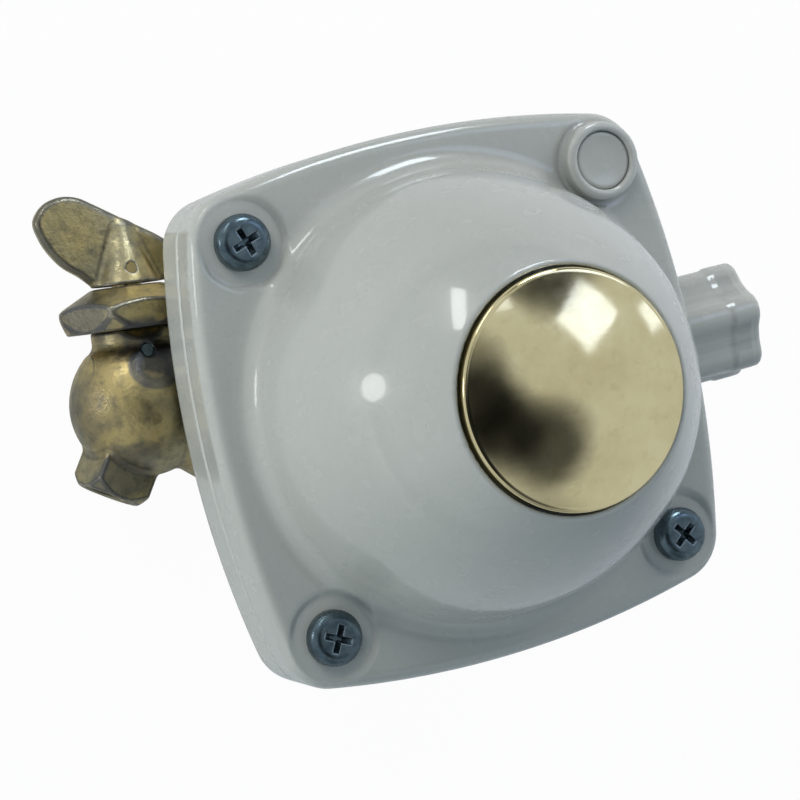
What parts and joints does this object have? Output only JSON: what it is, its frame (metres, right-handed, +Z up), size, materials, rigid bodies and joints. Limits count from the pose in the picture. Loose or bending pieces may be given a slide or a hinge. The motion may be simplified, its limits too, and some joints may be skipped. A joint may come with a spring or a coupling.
{
  "type": "gas regulator",
  "caption": "Low-pressure gas regulator: bowed-square die-cast housing with a tall dome and brass cap, side outlet spigot, and a brass inlet cock with a thumb-leaf handle.",
  "frame": {"origin": "centre of the mouth of the threaded inlet", "axes": "+X along the outlet, pointing the way the gas leaves; +Z up the housing axis, from the flat back to the domed cap; +Y across, towards the cock handle"},
  "size_m": [0.1303, 0.0951, 0.0896],
  "materials": {
    "paint": "gloss light-grey paint on die-cast alloy",
    "polished_brass": "polished brass",
    "cast_brass": "as-cast and tumbled brass",
    "machined_brass": "machined brass",
    "steel": "zinc-plated steel",
    "black_steel": "blackened steel",
    "rubber": "nitrile rubber"
  },
  "bodies": {
    "housing": {"lower_body": "paint", "bonnet": "paint", "diaphragm": "rubber", "lever_pivot_pin": "steel", "inlet_nozzle": "machined_brass", "inlet_gasket": "rubber", "inlet_filter": "machined_brass", "cock_body": "cast_brass", "gland_nut": "cast_brass", "gland_packing": "rubber", "gland_lock_screw": "black_steel", "cover_screws": "black_steel", "seal_plug": "paint", "vent_screen": "machined_brass"},
    "cap": {"cap": "polished_brass"},
    "button": {"spring_button": "steel", "main_spring": "steel"},
    "adjuster": {"adjusting_screw": "machined_brass"},
    "stem": {"diaphragm_stem": "steel", "relief_retainer": "steel", "relief_spring": "steel"},
    "plate": {"diaphragm_plate": "steel"},
    "lever": {"valve_lever": "steel"},
    "plunger": {"valve_plunger": "machined_brass", "seat_pad": "rubber"},
    "handle": {"cock_handle": "cast_brass", "handle_pin": "machined_brass", "cock_plug": "machined_brass"}
  },
  "joints": [
    {"name": "cap_pull", "type": "slide", "parent": "housing", "child": "cap", "axis": [0, 0, 1], "range_m": [0, 0.012]},
    {"name": "adjuster_travel", "type": "slide", "parent": "housing", "child": "button", "axis": [0, 0, 1], "range_m": [-0.00375, 0.0015], "deforming": ["main_spring"]},
    {"name": "adjuster_turn", "type": "hinge", "parent": "button", "child": "adjuster", "pos_m": [0.05792, 0.00397, 0.0625], "axis": [0, 0, 1], "range_deg": [-905, 365]},
    {"name": "diaphragm_travel", "type": "slide", "parent": "housing", "child": "stem", "axis": [0, 0, 1], "range_m": [-0.002, 0.002], "stiffness_N_per_m": 2000, "deforming": ["diaphragm"]},
    {"name": "relief_lift", "type": "slide", "parent": "stem", "child": "plate", "axis": [0, 0, 1], "range_m": [0, 0.0008], "stiffness_N_per_m": 1500, "springref_m": -0.002, "deforming": ["relief_spring"]},
    {"name": "lever_rock", "type": "hinge", "parent": "housing", "child": "lever", "pos_m": [0.04292, 0.01417, -0.006], "axis": [0, -1, 0], "range_deg": [-7.7, 7.7]},
    {"name": "plunger_travel", "type": "slide", "parent": "housing", "child": "plunger", "axis": [1, 0, 0], "range_m": [-0.00082, 0.00082]},
    {"name": "cock_turn", "type": "hinge", "parent": "housing", "child": "handle", "pos_m": [0.00992, 0.01417, 0], "axis": [-0.1045, -0.9945, 0], "range_deg": [0, 90]}
  ],
  "couplings": [
    {"joint": "adjuster_turn", "follows": "adjuster_travel", "rad_per_m": 4188.8},
    {"joint": "lever_rock", "follows": "diaphragm_travel", "rad_per_m": 66.667},
    {"joint": "plunger_travel", "follows": "diaphragm_travel", "ratio": -0.4}
  ]
}
